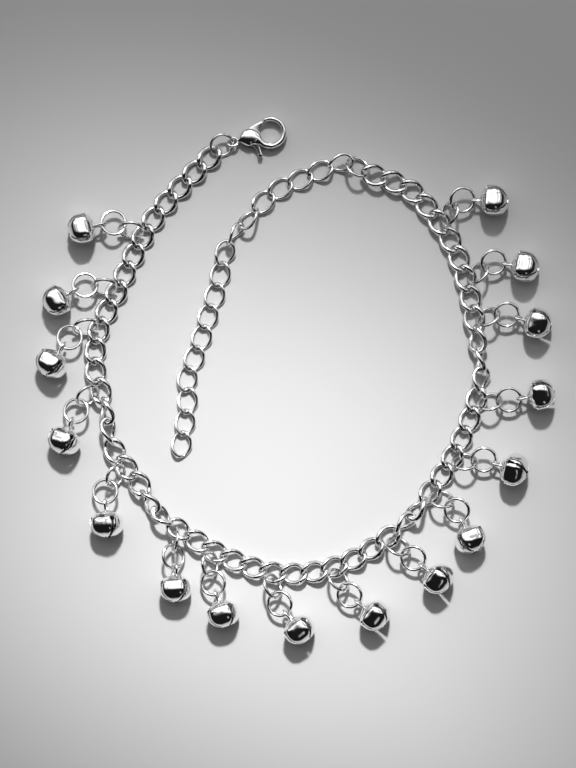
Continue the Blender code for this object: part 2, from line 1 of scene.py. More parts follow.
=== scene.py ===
"""A payal anklet laid open on a pale table, seen from straight above.

Curb links, jump rings and sixteen jingle bells in polished silver plate, with a
lobster clasp and an extension chain. Everything is in metres, +Z up.
"""

import math

import bmesh
import bpy
import numpy as np
from mathutils import Matrix, Vector


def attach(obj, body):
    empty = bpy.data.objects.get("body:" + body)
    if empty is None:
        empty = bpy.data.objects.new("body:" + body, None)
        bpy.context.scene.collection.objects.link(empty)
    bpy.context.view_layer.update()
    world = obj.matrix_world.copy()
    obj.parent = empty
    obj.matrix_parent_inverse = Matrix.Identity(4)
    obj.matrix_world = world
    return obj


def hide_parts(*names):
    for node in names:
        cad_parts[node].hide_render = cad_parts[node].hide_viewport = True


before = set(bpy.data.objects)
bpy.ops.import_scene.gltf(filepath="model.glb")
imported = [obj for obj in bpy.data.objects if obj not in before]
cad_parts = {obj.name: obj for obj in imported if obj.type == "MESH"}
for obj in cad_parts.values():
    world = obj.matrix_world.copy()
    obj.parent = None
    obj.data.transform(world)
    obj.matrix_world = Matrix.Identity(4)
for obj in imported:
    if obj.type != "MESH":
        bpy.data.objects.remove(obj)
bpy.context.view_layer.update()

MM = 0.001
UP = Vector((0.0, 0.0, 1.0))

# Camera and table
PHOTO_MIDDLE = (-1.54 * MM, -0.86 * MM)  # what lies in the middle of the photograph
PHOTO_HEIGHT = 149.8 * MM  # how much table the frame's height covers
CAMERA_HEIGHT = 0.80
SENSOR = 36.0
TABLE_SIZE = 4.0
TABLE_GREY = 0.33
TABLE_ROUGHNESS = 0.75
TABLE_SHEEN = 0.15
TABLE_FIBRE = 900.0
TABLE_FIBRE_DEPTH = 0.10 * MM

# Key light: a narrow spot with a wide weak one round it, behind the top of the picture
KEY_PLACE = (0.01, 0.55, 0.66)
KEY_TARGET = (-0.006, -0.0250, 0.0)
KEY_POWER = 134.0
KEY_SPREAD = 5.0
KEY_STRETCH = 2.5  # how much wider its pool of light is from side to side
KEY_TURN = -14.0
KEY_RADIUS = 0.048
WIDE_POWER = 8.0
WIDE_SPREAD = 34.0

# Soft light of the room. Places in it are tangents of angles from straight up.
HORIZON = 0.02
PANEL_SIDE = 1.7
PANEL_FRONT = 0.30
PANEL_BACK = 2.6
PANEL_BLUR = 0.9
PANEL_FRONT_BLUR = 0.34
PANEL_LIGHT = 1.62
PANEL_SHADE = 0.30  # share of the light left in the panel's dark clouds
CLOUD_SCALE = 3.3
CLOUD_EDGE = (0.38, 0.56)
WALL_LIGHT = 0.08
WALL_EDGE = (-0.2, 0.9)
ROOM_LIGHT = 0.01
SLIT_SIDE = 0.05
SLIT_BLUR = 0.20
SLIT_SLANT = 0.45
SLIT_NEAR = (-0.45, -0.7)
SLIT_FAR = (-1.6, -1.0)
SLIT_LIGHT = 0.45

DENT_DEPTH = 0.08 * MM  # of the unevenness in every silver finish

# Curb chains: the same sizes as the solids, with round wire
ROUTE_UNIT = 1.00 * MM
LOOP_MIDDLE = (-0.805, 0.368)
MAIN_LINKS = 54
MAIN_WIRE = 0.90 * MM
MAIN_WIDTH = 4.50 * MM
MAIN_TWIST = -33.0
EXTENSION_LINKS = 17
EXTENSION_WIRE = 0.62 * MM
EXTENSION_WIDTH = 4.20 * MM
EXTENSION_TWIST = -28.0
SOLID_BITE = 0.10 * MM  # the solids' links are sunk this deep, these only touch
SOLID_STEPS = 10
LINK_STEPS = 48
WIRE_SIDES = 14
SETTLING_ROUNDS = 8

# Jump rings
RING_OUTER = 5.30 * MM
RING_WIRE = 0.62 * MM
RING_SPLIT = 0.12 * MM
RING_RADIUS = 0.5 * (RING_OUTER - RING_WIRE)
RING_STEPS = 56
CLASP_RING_OUTER = 5.00 * MM
CLASP_RING_RADIUS = 0.5 * (CLASP_RING_OUTER - RING_WIRE)
HOOK_GAP = 0.35 * MM
SIDE_GAP = 0.50 * MM
TABLE_GAP = 0.18 * MM
LEANING = -47.0
STANDING = 80.0
STANDING_SHIFT = -0.60 * MM
STANDING_REACH = 0.05 * MM
STANDING_HOLD = -50.0
CROSSING = 68.0
STEEPEST = 0.6  # sine of the steepest rise of a ring or a bell
CLASP_RING_HEADING = 22.0
CLASP_RING_ROLL = 28.0
EXTENSION_RING_ROLL = 45.0

# Jingle bells
BELL_WIDTH = 5.90 * MM
BELL_HEIGHT = 5.50 * MM
BELL_WALL = 0.35 * MM
BELL_SLOT = 0.55 * MM
BELL_HOLE = 1.00 * MM
BELL_RIM = 0.07 * MM
PETALS = 4
PETAL_COLUMNS = 12
HOLE_HEIGHT = 0.30 * 0.5 * BELL_HEIGHT  # of the middle of each slot's round end
HOLE_DROP = 0.42 * BELL_HOLE  # from there to where the slot runs into it
PELLET_WIDTH = 2.40 * MM
PELLET_GAP = 0.10 * MM
EYE_WIRE = 0.50 * MM
EYE_HOLE = 1.25 * MM
EYE_REACH = 1.15 * MM
EYE_FOOT = 0.75 * MM
EYE_LEG = 0.50 * MM
EYE_SHOULDER = 0.55
EYE_KNEE = (0.80, 0.75)
EYE_PAST_HALF = 0.12  # share of a half turn by which its arc runs on at each end
EYE_STEPS = 16
EYE_SIDES = 12
BELL_TILT = 7.0

# Lobster clasp
CLASP_LENGTH = 12.0 * MM
CLASP_THICKNESS = 2.40 * MM
CLASP_HEADING = 14.7
CLASP_BULGE = 1.85 * MM
CLASP_BAND = 0.95 * MM
CLASP_OPENING = 4.30 * MM
CLASP_EYE_WIRE = 0.56 * MM
CLASP_EYE_HOLE = 1.44 * MM
CLASP_EYE_TURN = -30.0
CLASP_EYE_STEPS = 40
CLASP_SQUARENESS = 2.6
CLASP_SIDES = 28
LEVER_THICKNESS = 0.90 * MM
LEVER_GAP = 0.20 * MM
LEVER_EDGE = 0.22 * MM
PIN_WIDTH = 0.70 * MM
PIN_FROM_OPENING = 1.15 * MM
PIN_SIDE = -0.45
PIN_BOTTOM = 0.12 * MM
PIN_TOP_INSET = 0.02 * MM
PIN_EDGE = 0.08 * MM
PIN_SIDES = 28
HUB_WALL = 0.45 * MM
HUB_LOW = 1.28 * MM
GATE_TIP = 112.5
GATE_ROOT = 164.0
GATE_TIP_WIDTH = 0.62 * MM
GATE_INSET = 0.02 * MM
GATE_HEEL = (3.20 * MM, 1.55 * MM)
GATE_SHOULDER = (4.20 * MM, 2.00 * MM)
TRIGGER_WIDTH = 0.95 * MM
TRIGGER_REACH = 3.45 * MM
TRIGGER_SHIFT = 0.22 * MM
TRIGGER_WAIST = 0.33 * MM
TRIGGER_NECK = 1.9  # height of the waist over the head, in half widths
POCKET_BACK = 1.50 * MM
POCKET_FRONT = 1.75 * MM
POCKET_SIDE = 3.00 * MM

MAIN_ROUTE = (
    (-17.7, 43.6), (-23.5, 37.8), (-28.6, 31.7), (-32.7, 24.1), (-35.7, 17.5), (-39.1, 10.4),
    (-39.9, 2.6), (-37.8, -5.4), (-36.3, -13.0), (-31.3, -20.0), (-27.7, -25.4), (-20.4, -30.9),
    (-13.5, -34.6), (-5.4, -37.2), (2.6, -37.1), (10.0, -34.8), (16.9, -30.5), (21.4, -26.4),
    (25.4, -21.4), (29.8, -14.5), (33.4, -6.3), (35.2, 0.7), (34.4, 8.7), (33.1, 16.8),
    (30.6, 24.9), (26.7, 31.6), (21.3, 37.4), (14.5, 40.1),
)
EXTENSION_ROUTE = (
    (7.90, 42.44), (4.3, 41.2), (1.2, 39.8), (-3.0, 38.1), (-6.7, 35.5), (-9.6, 32.0),
    (-12.1, 29.6), (-14.4, 25.8), (-15.4, 21.3), (-16.6, 16.8), (-18.0, 12.5), (-19.3, 8.2),
    (-20.8, 4.0), (-22.1, -0.2), (-21.9, -4.1), (-22.4, -7.9), (-23.1, -12.2),
)
# How far a link is rolled about the chain's line: link number, degrees
MAIN_ROLLS = (
    (14, 0), (17, 180), (19, 180), (21, 300), (22, 335), (23, 360), (33, 360), (36, 540), (41, 540),
    (45, 720),
)
EXTENSION_ROLLS = ((1, -36), (2, 0), (5, 0), (8, 160), (9, 180))
# How far a link is lifted off the table: link number, millimetres
MAIN_LIFTS = ((53, 0.0), (54, 0.6))
EXTENSION_LIFTS = ((1, 0.1), (2, 0.0))
# Each bell's drop, all angles in degrees
DROPS = (
    # link, swing, lower, bell, petals, ring
    (6, 0, 152, 192, -8, LEANING),
    (9, 0, 174, 210, -4, LEANING),
    (11, 4, 218, 236, -20, LEANING),
    (14, 4, 237, 249, -22, LEANING),
    (18, 0, 236, 274, -22, LEANING),
    (22, 28, 268, 273, -8, STANDING),
    (24, 8, 281, 289, -10, LEANING),
    (27, 8, 291, 308, -8, LEANING),
    (30, 0, 304, 322, -10, LEANING),
    (33, 8, 318, 321, -15, LEANING),
    (36, 4, 318, 294, 12, LEANING),
    (38, 8, 8, 342, -24, LEANING),
    (41, 8, 4, 11, -5, LEANING),
    (45, 0, 0, 344, -5, LEANING),
    (47, 8, 30, 351, 8, LEANING),
    (50, 8, 39, 358, 6, LEANING),
)
# A bell's outline from the cap's tip to the mouth: share of half its height, of half its
# width, and how square its section is there, 2 for a circle
BELL_PROFILE = (
    # height, width, squareness
    (1.00, 0.05, 2.0),
    (0.93, 0.29, 2.2),
    (0.81, 0.54, 2.6),
    (0.64, 0.77, 2.9),
    (0.42, 0.93, 3.0),
    (0.20, 0.99, 2.9),
    (-0.05, 1.00, 2.9),
    (-0.32, 0.97, 2.9),
    (-0.58, 0.86, 2.8),
    (-0.80, 0.65, 2.6),
    (-0.93, 0.43, 2.4),
    (-1.00, 0.25, 2.2),
)
# The clasp's body along its middle line, in millimetres from the middle of its eye
CLASP_NECK = (
    # along, across, half width, half thickness
    (0.95, 0.00, 0.42, 0.45),
    (1.35, 0.00, 0.50, 0.62),
    (1.80, 0.02, 1.00, 0.92),
    (2.40, 0.05, 1.52, 1.12),
    (3.10, 0.04, 1.80, 1.20),
    (3.80, -0.10, 1.78, 1.20),
    (4.45, -0.55, 1.42, 1.19),
    (4.95, -1.12, 1.00, 1.14),
)
# The same round the hook, by the angle about the middle of its opening
CLASP_HOOK = (
    # angle, distance, half width, half thickness
    (214, 2.75, 0.68, 1.08),
    (234, 2.74, 0.64, 1.03),
    (270, 2.72, 0.58, 1.00),
    (310, 2.68, 0.54, 0.98),
    (350, 2.64, 0.51, 0.96),
    (390, 2.62, 0.48, 0.92),
    (430, 2.60, 0.46, 0.86),
    (458, 2.58, 0.42, 0.76),
    (466, 2.57, 0.36, 0.62),
    (468, 2.57, 0.24, 0.44),
)


# Materials


def new_material(name):
    material = bpy.data.materials.new(name)
    material.use_nodes = True
    tree = material.node_tree
    return material, tree, tree.nodes["Principled BSDF"]


def node(tree, kind, **values):
    """A node with its inputs set by name."""
    made = tree.nodes.new(kind)
    for name, value in values.items():
        made.inputs[name.replace("_", " ")].default_value = value
    return made


def silver(name, colour, roughness, grain, dents, dent_scale=600.0):
    """Polished plate with fine polishing marks in its gloss and soft hammered dents."""
    material, tree, shader = new_material(name)
    link = tree.links.new
    shader.inputs["Base Color"].default_value = (*colour, 1.0)
    shader.inputs["Metallic"].default_value = 1.0
    place = tree.nodes.new("ShaderNodeTexCoord")
    marks = node(tree, "ShaderNodeTexNoise", Scale=grain, Detail=4.0, Roughness=0.6)
    gloss = node(tree, "ShaderNodeMapRange", From_Min=0.3, From_Max=0.7,
                 To_Min=0.6 * roughness, To_Max=1.7 * roughness)
    waves = node(tree, "ShaderNodeTexNoise", Scale=dent_scale, Detail=2.0, Roughness=0.5)
    bump = node(tree, "ShaderNodeBump", Strength=dents, Distance=DENT_DEPTH)
    link(place.outputs["Object"], marks.inputs["Vector"])
    link(place.outputs["Object"], waves.inputs["Vector"])
    link(marks.outputs["Fac"], gloss.inputs["Value"])
    link(gloss.outputs["Result"], shader.inputs["Roughness"])
    link(waves.outputs["Fac"], bump.inputs["Height"])
    link(bump.outputs["Normal"], shader.inputs["Normal"])
    return material


CHAIN_SILVER = silver("chain_silver", (0.78, 0.78, 0.785), roughness=0.09, grain=5200.0, dents=0.22)
RING_SILVER = silver("ring_silver", (0.72, 0.72, 0.73), roughness=0.10, grain=5200.0, dents=0.18)
BELL_SILVER = silver(
    "bell_silver", (0.86, 0.86, 0.865), roughness=0.06, grain=4200.0, dents=0.85, dent_scale=330.0)
CLASP_SILVER = silver("clasp_silver", (0.84, 0.84, 0.845), roughness=0.08, grain=4600.0, dents=0.15)
PELLET_STEEL = silver("pellet_steel", (0.45, 0.44, 0.43), roughness=0.22, grain=3000.0, dents=0.3)


# Geometry Nodes trees


class Tree:
    """A Geometry Nodes tree under construction, with named inputs."""

    def __init__(self, name, inputs):
        self.tree = bpy.data.node_groups.new(name, "GeometryNodeTree")
        interface = self.tree.interface
        interface.new_socket(name="Places", in_out="INPUT", socket_type="NodeSocketGeometry")
        for label, kind in inputs:
            interface.new_socket(name=label, in_out="INPUT", socket_type=kind)
        interface.new_socket(name="Geometry", in_out="OUTPUT", socket_type="NodeSocketGeometry")
        self.start = self.tree.nodes.new("NodeGroupInput")
        self.end = self.tree.nodes.new("NodeGroupOutput")

    def given(self, label):
        return self.start.outputs[label]

    def add(self, kind, settings=None, **inputs):
        """A node; its inputs take a value or another node's output, by name."""
        made = self.tree.nodes.new(kind)
        for label, value in (settings or {}).items():
            setattr(made, label, value)
        for label, value in inputs.items():
            self.put(made.inputs[label.replace("_", " ")], value)
        return made

    def put(self, socket, value):
        if isinstance(value, bpy.types.NodeSocket):
            self.tree.links.new(value, socket)
        else:
            socket.default_value = value

    def math(self, operation, first, second=0.0):
        made = self.tree.nodes.new("ShaderNodeMath")
        made.operation = operation
        self.put(made.inputs[0], first)
        self.put(made.inputs[1], second)
        return made.outputs[0]

    def copies(self, shape):
        """A copy of shape at each place, turned as the place says, and finished."""
        turn = self.add("GeometryNodeInputNamedAttribute", {"data_type": "FLOAT_VECTOR"}, Name="turn")
        placed = self.add("GeometryNodeInstanceOnPoints", Points=self.given("Places"), Instance=shape,
                          Rotation=turn.outputs["Attribute"])
        real = self.add("GeometryNodeRealizeInstances", Geometry=placed.outputs["Instances"])
        smooth = self.add("GeometryNodeSetShadeSmooth", Geometry=real.outputs["Geometry"])
        finished = self.add("GeometryNodeSetMaterial", Geometry=smooth.outputs["Geometry"],
                            Material=self.given("Finish"))
        self.tree.links.new(finished.outputs["Geometry"], self.end.inputs["Geometry"])
        return self.tree


def swept(tree, curve):
    """A round wire along a curve, as thick as the tree's Wire input."""
    radius = tree.math("MULTIPLY", tree.given("Wire"), 0.5)
    section = tree.add("GeometryNodeCurvePrimitiveCircle", Resolution=tree.given("Sides"), Radius=radius)
    sweep = tree.add("GeometryNodeCurveToMesh", Curve=curve, Profile_Curve=section.outputs["Curve"])
    sweep.inputs["Fill Caps"].default_value = True
    return sweep.outputs["Mesh"]


def link_tree():
    """Curb links: an oval of wire whose plane twists steadily from one end to the other."""
    tree = Tree("curb_links", (
        ("Long Half", "NodeSocketFloat"), ("Wide Half", "NodeSocketFloat"), ("Twist", "NodeSocketFloat"),
        ("Wire", "NodeSocketFloat"), ("Steps", "NodeSocketInt"), ("Sides", "NodeSocketInt"),
        ("Finish", "NodeSocketMaterial"),
    ))
    oval = tree.add("GeometryNodeCurvePrimitiveCircle", Resolution=tree.given("Steps"), Radius=MM)
    number = tree.add("GeometryNodeInputIndex").outputs["Index"]
    turn = tree.math("MULTIPLY", tree.math("DIVIDE", number, tree.given("Steps")), math.tau)
    along = tree.math("MULTIPLY", tree.math("COSINE", turn), tree.given("Long Half"))
    across = tree.math("MULTIPLY", tree.math("SINE", turn), tree.given("Wide Half"))
    angle = tree.math("MULTIPLY", along, tree.given("Twist"))
    spot = tree.add(
        "ShaderNodeCombineXYZ", X=along,
        Y=tree.math("MULTIPLY", across, tree.math("COSINE", angle)),
        Z=tree.math("MULTIPLY", across, tree.math("SINE", angle)),
    )
    bent = tree.add("GeometryNodeSetPosition", Geometry=oval.outputs["Curve"],
                    Position=spot.outputs["Vector"])
    return tree.copies(swept(tree, bent.outputs["Geometry"]))


def ring_tree():
    """Jump rings: a turn of wire with its ends cut square, the cut at +Y."""
    tree = Tree("jump_rings", (
        ("Radius", "NodeSocketFloat"), ("Cut Angle", "NodeSocketFloat"), ("Wire", "NodeSocketFloat"),
        ("Steps", "NodeSocketInt"), ("Sides", "NodeSocketInt"), ("Finish", "NodeSocketMaterial"),
    ))
    start = tree.math("ADD", tree.math("MULTIPLY", tree.given("Cut Angle"), 0.5), 0.5 * math.pi)
    sweep = tree.math("SUBTRACT", math.tau, tree.given("Cut Angle"))
    turn = tree.add("GeometryNodeCurveArc", Resolution=tree.given("Steps"), Radius=tree.given("Radius"),
                    Start_Angle=start, Sweep_Angle=sweep)
    return tree.copies(swept(tree, turn.outputs["Curve"]))


def copy_tree():
    """Copies of another object's shape, one at each place."""
    tree = Tree("placed_copies", (("Shape", "NodeSocketObject"), ("Finish", "NodeSocketMaterial")))
    shape = tree.add("GeometryNodeObjectInfo", Object=tree.given("Shape"))
    return tree.copies(shape.outputs["Geometry"])


def place_points(name, places):
    """A mesh of loose points, each with the turn of the piece that goes there."""
    mesh = bpy.data.meshes.new(name)
    mesh.from_pydata([place.translation for place in places], [], [])
    turns = mesh.attributes.new("turn", "FLOAT_VECTOR", "POINT")
    values = [component for place in places for component in place.to_euler("XYZ")]
    turns.data.foreach_set("vector", values)
    return mesh


def grow(name, tree, places, **inputs):
    """The tree's result at the given places, as one plain object."""
    item = bpy.data.objects.new(name, place_points(name + "_places", places))
    bpy.context.scene.collection.objects.link(item)
    modifier = item.modifiers.new(tree.name, "NODES")
    modifier.node_group = tree
    identifiers = {
        socket.name: socket.identifier for socket in tree.interface.items_tree
        if socket.item_type == "SOCKET" and socket.in_out == "INPUT"
    }
    for label, value in inputs.items():
        modifier[identifiers[label.replace("_", " ")]] = value
    mesh = plain_mesh(item)
    item.modifiers.clear()
    item.data = mesh
    mesh.name = name
    face_outwards(mesh)
    return item


def plain_mesh(item):
    bpy.context.view_layer.update()
    graph = bpy.context.evaluated_depsgraph_get()
    return bpy.data.meshes.new_from_object(item.evaluated_get(graph), depsgraph=graph)


def face_outwards(mesh):
    """Turn a mesh of closed shells round if it came out inside out."""
    builder = bmesh.new()
    builder.from_mesh(mesh)
    if builder.calc_volume(signed=True) < 0.0:
        bmesh.ops.reverse_faces(builder, faces=builder.faces)
        builder.to_mesh(mesh)
    builder.free()


def finish_piece(item, slot, body, *nodes):
    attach(item, body)
    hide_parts(*nodes)


# Routes and places, worked out as the solids' are


def blend(a, b, c, d, t):
    """A point at share t of the way from b to c, on the smooth curve through all four."""
    return 0.5 * (2.0 * b + t * (c - a) + t * t * (2.0 * a - 5.0 * b + 4.0 * c - d)
                  + t * t * t * (3.0 * b - a - 3.0 * c + d))


def smooth_route(corners, steps=24):
    middle = Vector(LOOP_MIDDLE)
    spots = [ROUTE_UNIT * (Vector(corner) - middle) for corner in corners]
    spots = [2.0 * spots[0] - spots[1]] + spots + [2.0 * spots[-1] - spots[-2]]
    curve = []
    for a, b, c, d in zip(spots, spots[1:], spots[2:], spots[3:]):
        curve += [blend(a, b, c, d, step / steps) for step in range(steps)]
    curve.append(spots[-2])
    return curve


def along_route(curve, distances):
    """The points of a curve at rising distances from its start."""
    found = []
    walked = 0.0
    index = 0
    for target in distances:
        while index < len(curve) - 2 and walked + (curve[index + 1] - curve[index]).length < target:
            walked += (curve[index + 1] - curve[index]).length
            index += 1
        share = (target - walked) / (curve[index + 1] - curve[index]).length
        found.append(curve[index].lerp(curve[index + 1], share))
    return found


def table_row(rows, number):
    """The other columns of a table at number, straight between its rows and level past its ends."""
    if number <= rows[0][0]:
        return rows[0][1:]
    for low, high in zip(rows, rows[1:]):
        if number <= high[0]:
            share = (number - low[0]) / (high[0] - low[0])
            return tuple(a + (b - a) * share for a, b in zip(low[1:], high[1:]))
    return rows[-1][1:]


class Chain:
    """Equal curb links laid along a route, each resting on the table."""

    def __init__(self, corners, rolls, lifts, links, wire, width, twist):
        self.wire = wire
        self.wide_half = 0.5 * (width - wire)
        lifts = [ROUTE_UNIT * table_row(lifts, i + 1)[0] for i in range(links)]
        self.rolls = [math.radians(table_row(rolls, i + 1)[0]) for i in range(links)]
        curve = smooth_route(corners)
        length = sum((b - a).length for a, b in zip(curve, curve[1:]))
        self.pitch = length / (links - 1)
        heights = [0.5 * width] * links
        for _ in range(SETTLING_ROUNDS):
            rises = [b - a for a, b in zip(heights, heights[1:])]
            steps = [math.sqrt(self.pitch ** 2 - rise ** 2) for rise in rises]
            self.pitch *= length / sum(steps)
            self.long_half = 0.5 * (self.pitch + wire - SOLID_BITE)
            self.twist = math.radians(twist) / (0.5 * self.pitch)
            distances = [sum(steps[:i]) * length / sum(steps) for i in range(links)]
            flat = along_route(curve, distances)
            self.centres = [Vector((p.x, p.y, h)) for p, h in zip(flat, heights)]
            heights = [h - self.underside(i) + lifts[i] for i, h in enumerate(heights)]
        self.centres = [Vector((p.x, p.y, h)) for p, h in zip(flat, heights)]

    def underside(self, index):
        """The lowest reach of a link as the solids have it, with few corners."""
        place = self.place(index)
        reach = self.long_half / math.cos(math.pi / SOLID_STEPS)
        lowest = []
        for step in range(SOLID_STEPS):
            turn = math.tau * (step + 0.5) / SOLID_STEPS
            along, across = reach * math.cos(turn), self.wide_half * math.sin(turn)
            angle = self.twist * along
            lowest.append((place @ Vector((along, across * math.cos(angle), across * math.sin(angle)))).z)
        return min(lowest) - 0.5 * self.wire

    def heading(self, index):
        index %= len(self.centres)
        before = self.centres[max(index - 1, 0)]
        after = self.centres[min(index + 1, len(self.centres) - 1)]
        return (after - before).normalized()

    def place(self, index):
        along = self.heading(index)
        left = UP.cross(along).normalized()
        across = left * math.cos(self.rolls[index]) + along.cross(left) * math.sin(self.rolls[index])
        return axes(self.centres[index], along, across)

    def places(self):
        return [self.place(index) for index in range(len(self.centres))]

    def end_hook(self, other_wire):
        return self.long_half - 0.5 * (self.wire + other_wire) - HOOK_GAP

    def side_hook(self, other_wire):
        return self.wide_half - 0.5 * (self.wire + other_wire) - SIDE_GAP

    def outward(self, index, swing):
        along = self.heading(index)
        return math.degrees(math.atan2(along.y, along.x)) - 90.0 + swing


def axes(origin, x_axis, y_axis):
    """A place at origin with its X along x_axis and its Y on y_axis's side."""
    x_axis = x_axis.normalized()
    z_axis = x_axis.cross(y_axis).normalized()
    y_axis = z_axis.cross(x_axis)
    matrix = Matrix((x_axis, y_axis, z_axis)).transposed().to_4x4()
    matrix.translation = origin
    return matrix


def heading_vector(degrees, rise=0.0):
    angle = math.radians(degrees)
    level = math.cos(rise)
    return Vector((level * math.cos(angle), level * math.sin(angle), math.sin(rise)))


def ring_place(centre, outward, roll):
    """A ring's place: its X points outward and its plane is rolled about that line."""
    level = UP.cross(outward).normalized()
    side = level * math.cos(roll) + outward.cross(level) * math.sin(roll)
    return axes(centre, outward, side)


def ring_edge(place, radius, direction):
    """The point of a ring's wire that is farthest towards direction."""
    normal = place.to_3x3() @ UP
    in_plane = direction - normal * direction.dot(normal)
    return place.translation + radius * in_plane.normalized()


def upper_ring(chain, index, heading, roll, radius):
    """The ring round a link's outer side, just clear of the table."""
    link = chain.centres[index]
    turn = math.radians(roll)
    clear_height = radius * math.sin(abs(turn)) + 0.5 * RING_WIRE + TABLE_GAP
    if roll == STANDING:
        outward = heading_vector(heading)
        near = link + STANDING_SHIFT * chain.heading(index) + STANDING_REACH * outward
        return ring_place(Vector((near.x, near.y, clear_height)) + radius * outward, outward, turn)
    lift = max(clear_height - link.z, 0.0)
    rise = math.asin(min(lift / radius, 0.9))
    outward = heading_vector(heading, rise)
    near = link + chain.side_hook(RING_WIRE) * heading_vector(heading)
    return ring_place(near + radius * outward, outward, turn)


def lower_ring(upper, heading, hold, eye_height, radius):
    """The ring hooked through the upper one, its far side level with the bell's eye."""
    far = ring_edge(upper, radius, heading_vector(heading, hold))
    inward = (far - upper.translation).normalized()
    near = far - (RING_WIRE + HOOK_GAP) * inward
    rise = rise_angle((eye_height - near.z) / (2.0 * radius))
    outward = heading_vector(heading, rise)
    return ring_place(near + radius * outward, outward, crossing_roll(upper, outward))


def rise_angle(sine):
    return math.asin(max(-STEEPEST, min(STEEPEST, sine)))


def crossing_roll(other, outward):
    """The roll that makes a ring cross another at the angle CROSSING."""
    level = ring_place(Vector(), outward, 0.0).to_3x3() @ UP
    normal = other.to_3x3() @ UP
    along = normal.dot(level)
    across = normal.dot(outward.cross(level))
    share = min(math.cos(math.radians(CROSSING)) / math.hypot(along, across), 1.0)
    return math.atan2(across, along) + math.acos(share)


def bell_rotation(held_at, heading, lean, ring):
    """A bell's turn: its axis runs away from the ring and its eye stands across the ring's wire."""
    wire_along = (ring.to_3x3() @ UP).cross(held_at - ring.translation)
    axis = -heading_vector(heading, lean)
    side = wire_along - axis * axis.dot(wire_along)
    return axes(Vector(), side.cross(axis), side.normalized())


def top_petal_turn(held_at, heading, ring):
    """The turn of the petals about the bell's axis that brings one straight up."""
    rotation = bell_rotation(held_at, heading, math.radians(BELL_TILT), ring)
    up = rotation.to_3x3().transposed() @ UP
    return math.atan2(up.y, up.x)


def place_bell(corners, held_at, heading, ring):
    """Lay a bell on the table by its corners, its eye on the ring at held_at."""
    reach = 0.5 * BELL_HEIGHT + EYE_REACH
    lean = math.radians(BELL_TILT)
    for _ in range(SETTLING_ROUNDS):
        rotation = bell_rotation(held_at, heading, lean, ring)
        height = -float((corners @ np.array(rotation.to_3x3())[2]).min())
        lean = rise_angle((height - held_at.z) / reach)
    centre = held_at - reach * rotation.col[2].to_3d()
    rotation.translation = Vector((centre.x, centre.y, height))
    return rotation


# Bells


def bell_skin(height, turn):
    """A point of the bell's outer skin at a share of its half height and a turn about its axis."""
    width, power = bell_section(height)
    spread = (abs(math.cos(turn)) ** power + abs(math.sin(turn)) ** power) ** (-1.0 / power)
    reach = 0.5 * BELL_WIDTH * width * spread
    return Vector((reach * math.cos(turn), reach * math.sin(turn), 0.5 * BELL_HEIGHT * height))


def bell_section(height):
    """The outline's width and squareness at a height, on a smooth curve through its rows."""
    rows = sorted(BELL_PROFILE)
    for number in range(len(rows) - 1):
        if height <= rows[number + 1][0]:
            break
    a, b = rows[max(number - 1, 0)], rows[number]
    c, d = rows[number + 1], rows[min(number + 2, len(rows) - 1)]
    span = c[0] - b[0]
    t = (height - b[0]) / span
    found = []
    for column in (1, 2):
        before = (c[column] - a[column]) / max(c[0] - a[0], 0.01) * span
        after = (d[column] - b[column]) / max(d[0] - b[0], 0.01) * span
        found.append(
            (2 * t ** 3 - 3 * t ** 2 + 1) * b[column] + (t ** 3 - 2 * t ** 2 + t) * before
            + (3 * t ** 2 - 2 * t ** 3) * c[column] + (t ** 3 - t ** 2) * after
        )
    return found


def half_slot(z):
    """Half the gap between two petals at height z: a round end hole, then the slot below it."""
    if z >= HOLE_HEIGHT + 0.5 * BELL_HOLE:
        return 0.0
    round_end = math.sqrt(max(0.25 * BELL_HOLE ** 2 - (z - HOLE_HEIGHT) ** 2, 0.0))
    return max(round_end, 0.5 * BELL_SLOT) if z < HOLE_HEIGHT else round_end


def petal_levels():
    """Heights of the sheet's rows of corners, as shares of the bell's half height, from the top."""
    half = 0.5 * BELL_HEIGHT
    hole_top = (HOLE_HEIGHT + 0.5 * BELL_HOLE) / half
    hole_middle = HOLE_HEIGHT / half
    hole_low = (HOLE_HEIGHT - HOLE_DROP) / half
    levels = list(np.linspace(1.0, hole_top, 10))
    levels += [hole_middle + (hole_top - hole_middle) * math.cos(a) for a in np.linspace(0.35, 1.57, 5)]
    levels += list(np.linspace(hole_middle, hole_low, 4)[1:])
    levels += list(np.linspace(hole_low, -1.0, 13)[1:])
    return levels


def petal_corner(level, middle, share):
    """A corner of a petal, share of the way from its middle to its edge and back by half the slot."""
    half_turn = math.pi / PETALS
    skin = bell_skin(level, middle + half_turn * share)
    edge = middle + math.copysign(half_turn, share)
    sideways = Vector((-math.sin(edge), math.cos(edge), 0.0))
    gap = half_slot(0.5 * BELL_HEIGHT * level)
    return skin - sideways * gap * share * abs(share)


def petal_sheet():
    """The cap and four petals as one open sheet with slots between the petals."""
    builder = bmesh.new()
    shares = [2.0 * column / PETAL_COLUMNS - 1.0 for column in range(PETAL_COLUMNS + 1)]
    for petal in range(PETALS):
        middle = math.tau * petal / PETALS
        rows = [
            [builder.verts.new(petal_corner(level, middle, share)) for share in shares]
            for level in petal_levels()
        ]
        for upper, lower in zip(rows, rows[1:]):
            for a in range(PETAL_COLUMNS):
                builder.faces.new((upper[a], lower[a], lower[a + 1], upper[a + 1]))
    bmesh.ops.remove_doubles(builder, verts=builder.verts, dist=0.004 * MM)
    top = 0.99 * 0.5 * BELL_HEIGHT
    rim = [edge for edge in builder.edges
           if edge.is_boundary and min(corner.co.z for corner in edge.verts) > top]
    bmesh.ops.contextual_create(builder, geom=rim)
    bmesh.ops.recalc_face_normals(builder, faces=builder.faces)
    mesh = bpy.data.meshes.new("petal_sheet")
    builder.to_mesh(mesh)
    builder.free()
    return mesh


def helper(name, mesh):
    item = bpy.data.objects.new(name, mesh)
    bpy.context.scene.collection.objects.link(item)
    return item


